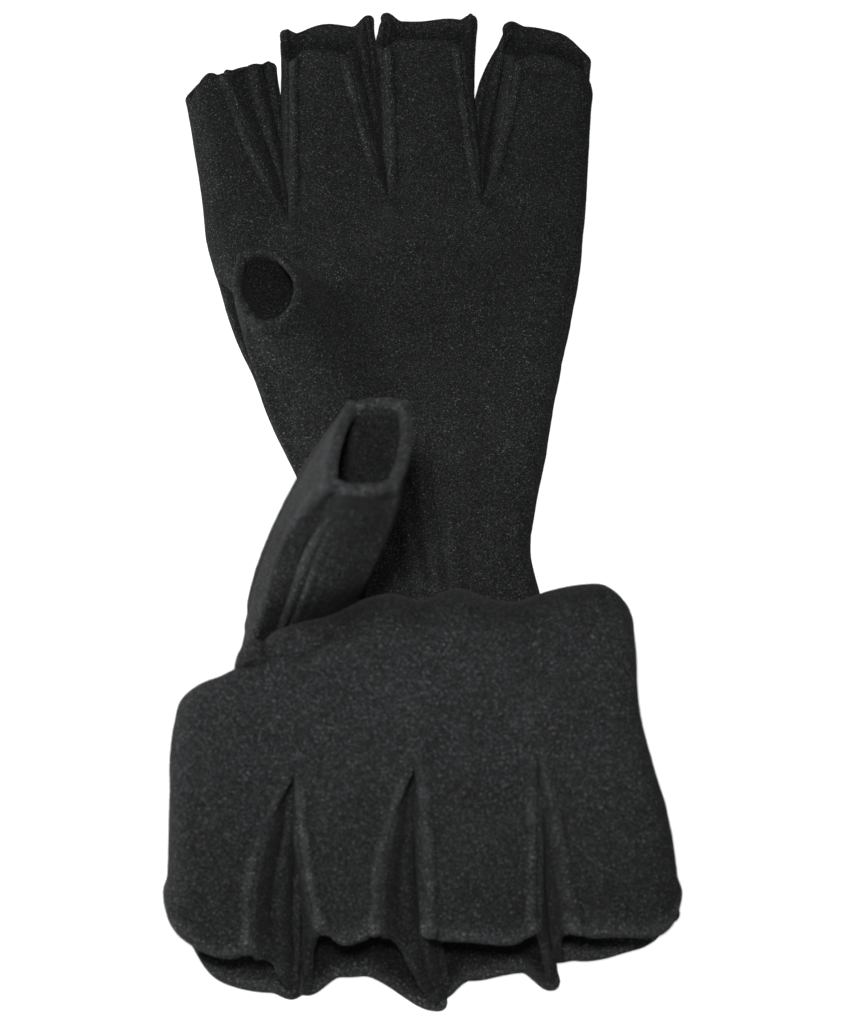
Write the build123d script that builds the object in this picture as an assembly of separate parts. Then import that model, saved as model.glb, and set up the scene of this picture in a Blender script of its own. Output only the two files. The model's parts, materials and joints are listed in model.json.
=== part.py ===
"""A pair of fingerless fleece gloves, lying palm up, one over the other.

The left glove lies flat with its fingers pointing away (+Y).  The right glove is
folded across its palm and lies over the left glove's cuff, with its fingers
pointing to the front (-Y).  The two gloves are mirror images of one pattern.

Pattern frame of one glove: u runs across the hand from the thumb side to the
little finger, v runs from the wrist elastic to the fingers, and w points out of
the palm.  Every cut piece of fleece is its own solid.  All sizes are millimetres
and degrees.
"""
from build123d import *
from math import cos, radians, sin
import os

# ---------------------------------------------------------------- driving sizes
FABRIC = 2.0            # thickness of one layer of fleece
HOLLOW = 7.0            # room between the palm layer and the back layer
HINGE_GAP = 1.5         # slack left in the palm layer where a piece bends

CUFF_LENGTH = 25.0      # from the wrist elastic to the open end of the cuff
PALM_LENGTH = 98.0      # from the wrist elastic to the crease under the fingers
# half of the glove's width at some distances from the wrist elastic
HALF_WIDTHS = ((-25.0, 29.0), (0.0, 25.5), (21.0, 31.0), (50.0, 40.0), (75.0, 46.5), (98.0, 51.5))

# Each finger: back panel from/to, palm-side panel from/to, fan angle,
# length of the palm-side panel, length of the back panel.
FINGERS = {
    "index": (-51.5, -29.0, -51.5, -37.0, -4.0, 43.0, 47.0),
    "middle": (-27.5, -2.5, -26.5, -10.0, 0.0, 43.0, 52.0),
    "ring": (-1.0, 23.5, -0.5, 20.0, 3.5, 43.0, 52.0),
    "little": (25.5, 51.0, 33.0, 51.0, 8.0, 40.0, 46.0),
}

THUMB_BASE = (24.0, 28.0)    # outside of the thumb tube where it leaves the palm
THUMB_TIP = (16.0, 24.0)     # outside of the thumb tube at its open end

ELASTIC_WIDTH = 8.0          # width of the elastic band sewn in at the wrist
ELASTIC_THICKNESS = 0.8
ELASTIC_CLEARANCE = 0.3      # between the elastic and the layers around it
ELASTIC_END_GAP = 1.2        # between the ends of the flat loop and the side seams

# Left glove: where its wrist lies on the table, how far it is turned, and how
# its fingers and thumb stand at rest.
LEFT_WRIST = (0.85, -12.0, 0.0)
LEFT_TURN = 5.0
LEFT_CURL = 15.0
LEFT_BACK_START = 0.0        # the back of a finger starts this far past its crease
LEFT_THUMB_ROOT = (-18.0, 30.0)
LEFT_THUMB_LEAN = (-16.0, 29.0, 25.0)

# Right glove: the round fold, seen from the side as a circle in the YZ plane.
FOLD_CENTRE = (-48.5, 27.7)
FOLD_RADIUS = 18.0           # outside of the fold
FOLD_SPLIT = 12.0            # angle of the fold line the finger half opens about
UPPER_SLOPE = 15.0           # the finger half falls this much towards the front
LOWER_SLOPE = 11.4            # the cuff half falls this much towards the front
RIGHT_CENTRE_X = -1.5
UPPER_LENGTH = 20.0          # from the end of the fold to the finger crease
LOWER_LENGTH = 45.5          # from the end of the fold to the end of the cuff
FOLD_HALF_WIDTH = 44.0
RIGHT_DROOP = 36.0           # the right fingers fall this much towards the front
RIGHT_BACK_START = 5.0
RIGHT_THUMB_X = -27.0
RIGHT_THUMB_ANGLE = 58.0     # place of the thumb root round the fold
RIGHT_THUMB_LEAN = (15.0, 2.0, 40.0)
THUMB_LIFT = 0.3             # the thumb tube starts this far off the palm

# ---------------------------------------------------------------- derived sizes
STACK = 2 * FABRIC + HOLLOW              # outside thickness of a glove lying flat
HINGE_DEPTH = FABRIC / 2                 # fingers bend about the palm layer
UPPER_END_ANGLE = 90.0 + UPPER_SLOPE     # where the round fold meets each half
LOWER_END_ANGLE = -90.0 + LOWER_SLOPE
GAP_ANGLE = 3.5                          # half of the slack left along the fold line
WIDE = 140.0                             # wider than the glove, for trimming tools


def slab(base, tip):
    """Solid between two four-sided outlines given as lists of four points."""
    sections = [make_face(Polyline(*corners, close=True)) for corners in (base, tip)]
    return loft(sections, ruled=True)


def box_corners(low_x, high_x, low_y, high_y, z, shift_x=0.0, shift_y=0.0):
    """Four corners of a rectangle that lies flat at height z."""
    left, right = low_x + shift_x, high_x + shift_x
    near, far = low_y + shift_y, high_y + shift_y
    return [(left, near, z), (right, near, z), (right, far, z), (left, far, z)]


# ---------------------------------------------------------------- finger stalls
def finger_pieces(name, back_start):
    """Four pieces of one finger, in a frame with its bending line at the origin.

    v runs along the finger and w = 0 is the middle of the palm layer.  The
    back-side pieces start at back_start, so that the finger can bend.
    """
    back_from, back_to, front_from, front_to, fan, front_length, back_length = FINGERS[name]
    middle = (back_from + back_to) / 2
    fan_slack = (back_to - middle) * abs(sin(radians(fan)))
    back_start += fan_slack
    palm_low = -FABRIC / 2
    back_low = palm_low - HOLLOW - FABRIC
    back_top = back_low + FABRIC

    def bar(start_u, end_u, start_v, end_v, low_w):
        shape = Box(end_u - start_u, end_v - start_v, FABRIC, align=(Align.MIN,) * 3)
        return Pos(start_u - middle, start_v, low_w) * shape

    def wall(back_u, front_u):
        """Side wall between the two panels; it leans where the panels differ."""
        outline = Polyline(
            (back_u - middle, back_top),
            (back_u - middle + FABRIC, back_top),
            (front_u - middle + FABRIC, palm_low),
            (front_u - middle, palm_low),
            close=True,
        )
        profile = Plane.XZ * make_face(outline)
        length = back_length - back_start
        return Pos(0, back_start, 0) * extrude(profile, amount=-length)

    pieces = {
        "palm_side": bar(front_from, front_to, HINGE_GAP + fan_slack, front_length, palm_low),
        "back_side": bar(back_from, back_to, back_start, back_length, back_low),
        "thumb_wall": wall(back_from, front_from),
        "little_wall": wall(back_to - FABRIC, front_to - FABRIC),
    }
    fanned = Rot(0, 0, -fan)
    return {key: fanned * piece for key, piece in pieces.items()}, middle


def wall_names(finger):
    """The outside walls are seams and the walls between fingers are fourchettes."""
    thumb_wall = "seam" if finger == "index" else "fourchette_thumb_side"
    little_wall = "seam" if finger == "little" else "fourchette_little_side"
    return {"thumb_wall": thumb_wall, "little_wall": little_wall}


# ---------------------------------------------------------------- thumb tube
def minus(pair):
    return tuple(-value for value in pair)


def thumb_pieces(lean):
    """Four tapered panels of a thumb, standing on the z = 0 plane.

    Every bound below is a pair: its value at the base and its value at the tip.
    """
    lean_u, lean_v, height = lean
    outer_u = (THUMB_BASE[0] / 2, THUMB_TIP[0] / 2)
    outer_v = (THUMB_BASE[1] / 2, THUMB_TIP[1] / 2)
    inner_u = tuple(value - FABRIC for value in outer_u)
    inner_v = tuple(value - FABRIC for value in outer_v)

    def panel(low_u, high_u, low_v, high_v):
        base = box_corners(low_u[0], high_u[0], low_v[0], high_v[0], 0.0)
        tip = box_corners(low_u[1], high_u[1], low_v[1], high_v[1], height, lean_u, lean_v)
        return slab(base, tip)

    return {
        "thumb_finger_side": panel(minus(outer_u), outer_u, inner_v, outer_v),
        "thumb_wrist_side": panel(minus(outer_u), outer_u, minus(outer_v), minus(inner_v)),
        "thumb_palm_gusset": panel(inner_u, outer_u, minus(inner_v), inner_v),
        "thumb_outer_gusset": panel(minus(outer_u), minus(inner_u), minus(inner_v), inner_v),
    }


def thumb_hole(depth):
    """Tool that opens the palm under the thumb tube."""
    width, length = (size - 2 * FABRIC for size in THUMB_BASE)
    return Box(width, length, 2 * depth)


# ---------------------------------------------------------------- wrist elastic
def elastic_band():
    """Flat closed loop of elastic, centred on the origin, with v along its width."""
    outside_w = HOLLOW - 2 * ELASTIC_CLEARANCE
    outside_u = 2 * (HALF_WIDTHS[1][1] - FABRIC - ELASTIC_END_GAP)
    outside = RectangleRounded(outside_u, outside_w, 0.45 * outside_w)
    inside = offset(outside, -ELASTIC_THICKNESS)
    loop = extrude(Plane.XZ * (outside - inside), amount=ELASTIC_WIDTH)
    return Pos(0, ELASTIC_WIDTH / 2, 0) * loop


# ---------------------------------------------------------------- left glove
def side_curve(side, inset):
    """One side of the hand's outline, from the cuff to the finger crease."""
    return Spline(*[(side * (half - inset), v) for v, half in HALF_WIDTHS])


def hand_outline():
    left, right = side_curve(-1, 0.0), side_curve(1, 0.0)
    near, far = Line(left @ 0, right @ 0), Line(left @ 1, right @ 1)
    return make_face([left, far, right, near])


def seam_outline(side):
    """Strip as wide as the fabric is thick, along one side of the hand."""
    outer, inner = side_curve(side, 0.0), side_curve(side, FABRIC)
    near, far = Line(outer @ 0, inner @ 0), Line(outer @ 1, inner @ 1)
    return make_face([outer, far, inner, near])


def layer(outline, low, thickness):
    return Pos(0, 0, low) * extrude(outline, amount=thickness)


def left_hand():
    outline = hand_outline()
    hole = Pos(*LEFT_THUMB_ROOT, STACK) * thumb_hole(1.5 * FABRIC)
    return {
        "back_panel": layer(outline, 0.0, FABRIC),
        "palm_panel": layer(outline, FABRIC + HOLLOW, FABRIC) - hole,
        "index_side_seam": layer(seam_outline(-1), FABRIC, HOLLOW),
        "little_side_seam": layer(seam_outline(1), FABRIC, HOLLOW),
        "wrist_elastic": Pos(0, 0, STACK / 2) * elastic_band(),
    }


def left_glove():
    """All pieces of the left glove in the frame of the pair."""
    place = Pos(*LEFT_WRIST) * Rot(0, 0, LEFT_TURN)
    pieces = {name: place * shape for name, shape in left_hand().items()}
    for finger in FINGERS:
        stall, middle = finger_pieces(finger, LEFT_BACK_START)
        hinge = Pos(middle, PALM_LENGTH, STACK - HINGE_DEPTH) * Rot(LEFT_CURL, 0, 0)
        names = wall_names(finger)
        for key, shape in stall.items():
            pieces[f"{finger}_{names.get(key, key)}"] = place * hinge * shape
    root = Pos(*LEFT_THUMB_ROOT, STACK + THUMB_LIFT)
    for name, shape in thumb_pieces(LEFT_THUMB_LEAN).items():
        pieces[name] = place * root * shape
    return pieces


# ---------------------------------------------------------------- right glove
def fold_point(angle, depth):
    """Point of the fold's side view: depth is measured inwards from its outside."""
    radius = FOLD_RADIUS - depth
    y = FOLD_CENTRE[0] + radius * cos(radians(angle))
    z = FOLD_CENTRE[1] + radius * sin(radians(angle))
    return Vector(y, z)


def folded_layer(depth, thickness, end_angle, length):
    """One layer of a folded half: a round stretch, then a straight one.

    The round stretch starts beside the fold line.  Its direction of travel
    follows from end_angle, which lies above it for the finger half.
    """
    way = 1 if end_angle > FOLD_SPLIT else -1
    start_angle = FOLD_SPLIT + way * GAP_ANGLE
    travel = Vector(cos(radians(end_angle + way * 90)), sin(radians(end_angle + way * 90))) * length
    deep = depth + thickness
    outer_end, inner_end = fold_point(end_angle, depth), fold_point(end_angle, deep)
    sweep = end_angle - start_angle
    edges = [
        CenterArc(FOLD_CENTRE, FOLD_RADIUS - depth, start_angle, sweep),
        Line(outer_end, outer_end + travel),
        Line(outer_end + travel, inner_end + travel),
        Line(inner_end + travel, inner_end),
        CenterArc(FOLD_CENTRE, FOLD_RADIUS - deep, start_angle, sweep),
        Line(fold_point(start_angle, deep), fold_point(start_angle, depth)),
    ]
    profile = Plane.YZ * make_face(edges)
    return extrude(profile, amount=WIDE / 2, both=True)


def plan_tool(widths, side=None):
    """Upright trimming tool; widths pairs each y with the half width there.

    Without a side it covers the whole width, otherwise only the seam strip on
    that side (-1 or 1).
    """
    if side is None:
        first = [(half, y) for y, half in widths]
        second = [(-half, y) for y, half in reversed(widths)]
    else:
        first = [(side * half, y) for y, half in widths]
        second = [(side * (half - FABRIC), y) for y, half in reversed(widths)]
    face = make_face(Polyline(*first, *second, close=True))
    return Pos(RIGHT_CENTRE_X, 0, -WIDE / 4) * extrude(face, amount=WIDE)


def half_pieces(half, end_angle, length, widths):
    """Palm layer, back layer and two side seams of one half of the folded hand."""
    palm = folded_layer(0.0, FABRIC, end_angle, length)
    filling = folded_layer(FABRIC, HOLLOW, end_angle, length)
    back = folded_layer(FABRIC + HOLLOW, FABRIC, end_angle, length)
    return {
        f"palm_{half}": palm & plan_tool(widths),
        f"back_{half}": back & plan_tool(widths),
        f"index_side_seam_{half}": filling & plan_tool(widths, -1),
        f"little_side_seam_{half}": filling & plan_tool(widths, 1),
    }


def right_glove():
    """All pieces of the right glove in the frame of the pair."""
    fold_y = FOLD_CENTRE[0] + FOLD_RADIUS + 1
    finger_depth = STACK - HINGE_DEPTH
    crease = fold_point(UPPER_END_ANGLE, HINGE_DEPTH)
    crease += Vector(-cos(radians(UPPER_SLOPE)), -sin(radians(UPPER_SLOPE))) * UPPER_LENGTH
    lower_start = fold_point(LOWER_END_ANGLE, STACK / 2)
    lower_way = Vector(-cos(radians(LOWER_SLOPE)), -sin(radians(LOWER_SLOPE)))
    elastic = lower_start + lower_way * (LOWER_LENGTH - CUFF_LENGTH)
    cuff_end = lower_start + lower_way * (LOWER_LENGTH + finger_depth)
    upper_widths = ((fold_y, FOLD_HALF_WIDTH), (crease.X - finger_depth, HALF_WIDTHS[-1][1]))
    lower_widths = (
        (fold_y, FOLD_HALF_WIDTH),
        (elastic.X, HALF_WIDTHS[1][1]),
        (cuff_end.X, HALF_WIDTHS[0][1]),
    )
    pieces = half_pieces("upper", UPPER_END_ANGLE, UPPER_LENGTH - 1, upper_widths)
    pieces |= half_pieces("lower", LOWER_END_ANGLE, LOWER_LENGTH, lower_widths)
    band_place = Pos(RIGHT_CENTRE_X, elastic.X, elastic.Y) * Rot(LOWER_SLOPE, 0, 0)
    pieces["wrist_elastic"] = band_place * elastic_band()

    for finger in FINGERS:
        stall, middle = finger_pieces(finger, RIGHT_BACK_START)
        hinge = Pos(RIGHT_CENTRE_X + middle, crease.X, crease.Y) * Rot(RIGHT_DROOP, 0, 0)
        names = wall_names(finger)
        for key, shape in stall.items():
            pieces[f"{finger}_{names.get(key, key)}"] = hinge * mirror(shape, Plane.XZ)

    root = fold_point(RIGHT_THUMB_ANGLE, 0.0)
    root_place = Pos(RIGHT_THUMB_X, root.X, root.Y) * Rot(RIGHT_THUMB_ANGLE - 90, 0, 0)
    pieces["palm_upper"] -= root_place * thumb_hole(3 * FABRIC)
    for name, shape in thumb_pieces(RIGHT_THUMB_LEAN).items():
        pieces[name] = root_place * Pos(0, 0, THUMB_LIFT) * mirror(shape, Plane.XZ)
    return pieces


# ---------------------------------------------------------------- write the pieces
os.makedirs("parts", exist_ok=True)
for glove, glove_pieces in (("left", left_glove()), ("right", right_glove())):
    for piece_name, piece in glove_pieces.items():
        export_step(piece, f"parts/{glove}_{piece_name}.step")
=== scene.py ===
"""Looks for a pair of fingerless fleece gloves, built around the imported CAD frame.

Every cut piece of fleece is one mesh piece.  A piece is laid out in the pattern
frame of its glove (u across the hand, s along the glove, w out of the palm) and
then carried into the scene along the glove's own centre line, which is straight
for the left glove and folded for the right one.  Pattern sizes are millimetres
and degrees; the meshes are metres.
"""
import json

import bmesh
import bpy
import numpy as np
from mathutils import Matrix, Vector


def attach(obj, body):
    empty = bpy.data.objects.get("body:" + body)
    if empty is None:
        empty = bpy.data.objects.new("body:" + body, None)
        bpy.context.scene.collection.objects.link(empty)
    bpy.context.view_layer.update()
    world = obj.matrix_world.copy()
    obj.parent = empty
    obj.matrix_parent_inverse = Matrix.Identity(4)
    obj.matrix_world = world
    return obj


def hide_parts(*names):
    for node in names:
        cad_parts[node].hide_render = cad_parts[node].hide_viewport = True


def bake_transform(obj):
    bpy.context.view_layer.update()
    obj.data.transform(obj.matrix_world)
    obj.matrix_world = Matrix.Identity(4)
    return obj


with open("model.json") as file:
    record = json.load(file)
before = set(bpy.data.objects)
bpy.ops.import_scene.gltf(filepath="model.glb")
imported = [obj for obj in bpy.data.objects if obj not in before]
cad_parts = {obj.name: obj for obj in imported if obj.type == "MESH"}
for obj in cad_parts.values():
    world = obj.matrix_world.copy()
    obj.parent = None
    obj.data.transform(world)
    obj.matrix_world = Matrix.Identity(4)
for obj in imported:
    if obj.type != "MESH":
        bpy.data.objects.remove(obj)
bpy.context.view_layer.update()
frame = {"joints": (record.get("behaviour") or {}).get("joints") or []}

MM = 0.001
JOINTS = {joint["name"]: joint for joint in frame["joints"]}

# ------------------------------------------------------------------ driving sizes
FABRIC = 2.0                    # thickness of one layer of fleece
HOLLOW = 7.0                    # room between the palm layer and the back layer
BACK_W = -(FABRIC + HOLLOW)     # w of the back layer; the palm layer is at w = 0
SEAM_W = BACK_W / 2             # w of the seams down the sides
SEAM_THICKNESS = 1.6
CUFF_END = -25.0                # s of the cuff's edge; the wrist elastic is at s = 0
SPLIT = 88.0                    # s where the finger panels are split off from the hand
CREASE = 98.0                   # s of the bend of the fingers
MIDDLE_FINGER_U = -15.0         # u of the middle of the middle finger
CORNER_U = 5.0                  # radii of the rounded sides of the hand
CORNER_W = -SEAM_W - 0.6
ELASTIC_HALF_WIDTH = 4.0
GRID = 0.85      # spacing of mesh points


def smooth(value):
    """Soft step from 0 to 1 while value goes from 0 to 1."""
    value = np.clip(value, 0.0, 1.0)
    return value * value * (3 - 2 * value)


def hill(distance, width):
    """Bell shape: 1 at distance 0, nearly gone at twice the width."""
    return np.exp(-(distance / width) ** 2)


def arc(share):
    """Parabola: 0 at shares 0 and 1, and 1 halfway."""
    return 4 * share * (1 - share)


def curve(*points):
    """Smooth curve through (position, value) points, level beyond both ends."""
    xs = np.array([point[0] for point in points], float)
    ys = np.array([point[1] for point in points], float)
    slopes = np.gradient(ys, xs)

    def at(x):
        x = np.clip(np.asarray(x, float), xs[0], xs[-1])
        i = np.clip(np.searchsorted(xs, x) - 1, 0, len(xs) - 2)
        step = xs[i + 1] - xs[i]
        t = (x - xs[i]) / step
        rise = (3 - 2 * t) * t * t
        start = (t - 1) ** 2 * t * step * slopes[i]
        end = (t - 1) * t * t * step * slopes[i + 1]
        return ys[i] * (1 - rise) + ys[i + 1] * rise + start + end

    return at


# ------------------------------------------------------------------ noise
NOISE_TABLE = np.random.RandomState(7).rand(4096)
NOISE_KEYS = (73856093, 19349663, 83492791, 2654435)    # spread the cells over the table


def noise(points, wavelength, seed=0):
    """Smooth random value between -1 and 1 at points given in millimetres."""
    cell = np.asarray(points, float) / wavelength + 1000.0
    low = np.floor(cell).astype(np.int64)
    part = cell - low
    part = part * part * (3 - 2 * part)
    total = np.zeros(cell.shape[:-1])
    for corner in range(8):
        step = np.array([corner & 1, corner >> 1 & 1, corner >> 2 & 1])
        node = low + step
        key = seed * NOISE_KEYS[3]
        for axis in range(3):
            key = key ^ node[..., axis] * NOISE_KEYS[axis]
        weight = np.prod(np.where(step == 1, part, 1 - part), axis=-1)
        total += weight * NOISE_TABLE[key % len(NOISE_TABLE)]
    return 2 * total - 1


# ------------------------------------------------------------------ gloves
class Glove:
    """Carries pattern points (u, s, w) of one glove into the scene.

    headings: slope of the centre line at s, in degrees.  anchor: s, x, y and z of one
    point of the centre line.  palm_side: 1 if w points up where the glove lies flat,
    -1 if it points down.  turn: direction of the glove on the table, in radians.
    half_left and half_right: half widths.  puff: how far the palm stands proud.
    pull, pleat and gloom are set for a glove that is pulled, puckered or darker in places.
    """

    def __init__(self, name, headings, anchor, palm_side, turn, half_left, half_right, puff):
        self.name = name
        self.turn = turn
        self.half_left, self.half_right, self.puff = half_left, half_right, puff
        self.palm_side = palm_side
        self.s = np.arange(CUFF_END - 5, CREASE + 80, 0.25)
        self.heading = np.radians(headings(self.s))
        steps = np.diff(self.s)
        middle = (self.heading[1:] + self.heading[:-1]) / 2
        self.y = np.concatenate([[0], np.cumsum(np.cos(middle) * steps)])
        self.z = np.concatenate([[0], np.cumsum(np.sin(middle) * steps)])
        anchor_s, self.centre_x, anchor_y, anchor_z = anchor
        self.y += anchor_y - np.interp(anchor_s, self.s, self.y)
        self.z += anchor_z - np.interp(anchor_s, self.s, self.z)
        self.pull = lambda u, s: 0.0 * u
        self.pleat = lambda u, s: 0.0 * u
        self.gloom = lambda u, s: 0.0 * u

    def place(self, u, s, w):
        """Scene position in millimetres of pattern points given as equal arrays."""
        u, s, w = np.broadcast_arrays(u, s, w)
        heading = np.interp(s, self.s, self.heading)
        y = np.interp(s, self.s, self.y) - self.palm_side * w * np.sin(heading)
        z = np.interp(s, self.s, self.z) + self.palm_side * w * np.cos(heading)
        y = y + self.pull(u, s)
        x = u + self.centre_x
        turned_x = x * np.cos(self.turn) - y * np.sin(self.turn)
        turned_y = x * np.sin(self.turn) + y * np.cos(self.turn)
        return np.stack([turned_x, turned_y, z], axis=-1)


# Outlines of the gloves: half widths along s
LEFT_HALF_LEFT = curve((-25, 28), (-15, 26.2), (-4, 25.1), (9, 27.6), (22, 31.2), (31, 34.6), (39, 37.4),
                       (51, 40.6), (62, 44.6), (79, 48.8), (92, 51.6), (108, 54), (125, 56))
LEFT_HALF_RIGHT = curve((-25, 28), (-15, 26.2), (-4, 25.1), (9, 28), (21, 31.7), (35, 35.5), (49, 39.6),
                        (70, 46.2), (98, 52.6), (114, 56.8))
RIGHT_HALF_LEFT = curve((-25, 29), (0, 25.5), (21, 32), (40, 36), (53, 38.0), (60, 38.6), (66, 38.3),
                        (70, 38.7), (73, 40.6), (76, 42.8), (80, 46.6), (85, 50.0), (90, 51.2), (98, 52.2),
                        (120, 53))
RIGHT_HALF_RIGHT = curve((-25, 29), (0, 25.5), (21, 33), (40, 43.0), (58, 47.0), (66, 46.8), (74, 46.8),
                         (82, 46.9), (90, 47.8), (98, 49.8), (120, 54))
# how far the left palm's edge is drawn in from the side of the hand, at the thumb
LEFT_INSET = curve((2, 0), (12, 3.2), (22, 2.4), (34, 2.4), (44, 4.0), (56, 5.6), (72, 5.6), (82, 0))
# The right glove is folded between these two distances; before it lies at the first
# heading, after it at the second, and its fingers droop by DROOP degrees.
FOLD_START, FOLD_END = 22.5, 78.0
TUCKED_HEADING, FOLDED_HEADING = 11.4, 195.0
DROOP = curve((96, 0), (100, 5), (108, 17), (116, 22), (135, 21), (150, 15))
# how far the top of the fold is pulled towards the front, across the glove
RIDGE_PULL = curve((-50, -22.5), (-44, -19), (-38, -15.5), (-33, -12.8), (-28, -9.2), (-24, -7.8),
                   (-18, -6.6), (-12, -4.9), (-6, -3.7), (1, -5.3), (9, -2.4), (16, -4.9), (22, -5.4),
                   (29, -2.3), (36, -0.2), (42, -0.1), (46, -2.4), (48, -5))


def left_glove():
    """Lies flat; its fingers curl up a little."""
    joint = JOINTS["left_middle_bend"]
    x, y, z = (value / MM for value in joint["pos_m"])
    turn = np.arctan2(joint["axis"][1], joint["axis"][0])
    # the bend of the middle finger in the glove's own unturned frame
    own_x = x * np.cos(turn) + y * np.sin(turn)
    own_y = y * np.cos(turn) - x * np.sin(turn)
    anchor = (CREASE, own_x - MIDDLE_FINGER_U, own_y, z)

    def headings(s):
        return 15.5 * smooth((s - 92) / 26) + 3.5 * smooth((s - 118) / 40)

    glove = Glove("left", headings, anchor, 1, turn, LEFT_HALF_LEFT, LEFT_HALF_RIGHT, 1.6)
    # painted shade, darker towards the wrist
    glove.gloom = lambda u, s: 0.18 * smooth((44 - s) / 40)
    return glove


def right_glove():
    """Folded over backwards across the palm; its fingers hang down to the table."""
    x, y, z = (value / MM for value in JOINTS["right_middle_bend"]["pos_m"])
    anchor = (CREASE, x - MIDDLE_FINGER_U, y, z)

    def headings(s):
        turned = np.interp(s, [FOLD_START, FOLD_END], [TUCKED_HEADING, FOLDED_HEADING])
        return turned + DROOP(s)

    glove = Glove("right", headings, anchor, -1, 0.0, RIGHT_HALF_LEFT, RIGHT_HALF_RIGHT, 1.4)
    glove.pull = fold_pull
    glove.pleat = thumb_pleat
    glove.gloom = thumb_painted_shade
    return glove


def fold_pull(u, s):
    """How far the right glove's fold is pulled towards the front."""
    return RIDGE_PULL(u) * (smooth((s - 8) / 25) * smooth((SPLIT - s) / 34))


def thumb_pleat(u, s):
    """Puckers in front of the right thumb: a lump, the crease below it, and a knot at its left end."""
    beside = smooth((u + 40) / 6) * smooth((-14 - u) / 8)
    crease = 72.5 - 3.5 * smooth((u + 24) / 7)
    lump = 1.7 * hill(s - 65, 3.6) - 1.7 * hill(s - crease, 2.2)
    knot = 2.4 * hill(u + 36, 2.6) * hill(s - 65, 4.5)
    notch = 1.6 * hill(u + 32, 0.9) * hill(s - 64, 5)
    return beside * lump + knot - notch


def thumb_painted_shade(u, s):
    """Painted shade on the right palm round the thumb's base, where the fleece is drawn together, in the
    crease below the knot and along a wrinkle.
    """
    beside = smooth((u + 40) / 4) * (1 - 0.55 * smooth((u + 15) / 8)) * smooth((12 - u) / 12)
    below_knot = 0.45 * hill(s - 69.5, 1.1) * hill(u + 35.5, 2.4)
    wrinkle = 0.2 * hill(s - 67 - 0.2 * (u + 20), 0.8) * hill(u + 20, 3.2)
    return 0.24 * beside * smooth((75 - s) / 9) + below_knot + wrinkle


LEFT, RIGHT = left_glove(), right_glove()


# ------------------------------------------------------------------ sheets of fleece
RIM_STEPS = 6               # steps round a cut edge
TABLE_GAP = 0.05            # lowest the nap goes above the table
LIP_LENGTH = 2.2            # how far the thicker open end reaches back
BEND_SHADING = 0.4                  # painted highlight added on a ridge of 1 mm radius, and as much painted shade in a crease of that radius
SHARPEST = 1.2              # sharper bends, 1/mm, don't add more
EDGE_HIGHLIGHT = 0.15            # painted highlight added along the cut sides


def displaced(points, out, fine):
    """Points pushed along out by the uneven nap of the fleece, up to fine."""
    nap = 0.6 * noise(points, 1.7, 3) + 0.4 * noise(points, 3.6, 4)
    return points + out * (fine * nap)[..., None]


def unit(vectors):
    """The same directions at length 1."""
    length = np.linalg.norm(vectors, axis=-1, keepdims=True)
    return vectors / np.maximum(length, 1e-9)


def bending(middle, normal):
    """How sharply a sheet bends, 1/mm: above 0 on a ridge, seen from the normal's side."""
    total = np.zeros(middle.shape[:2])
    for axis in (0, 1):
        grid = np.moveaxis(middle, axis, 0)
        ahead, behind = grid[2:] - grid[1:-1], grid[1:-1] - grid[:-2]
        step = (np.linalg.norm(ahead, axis=-1) + np.linalg.norm(behind, axis=-1)) / 2
        facing = np.moveaxis(normal, axis, 0)[1:-1]
        part = -np.sum((ahead - behind) * facing, axis=-1) / np.maximum(step, 0.2) ** 2
        part = np.concatenate([part[:1], part, part[-1:]])
        total += np.moveaxis(part, 0, axis)
    return total


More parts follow.
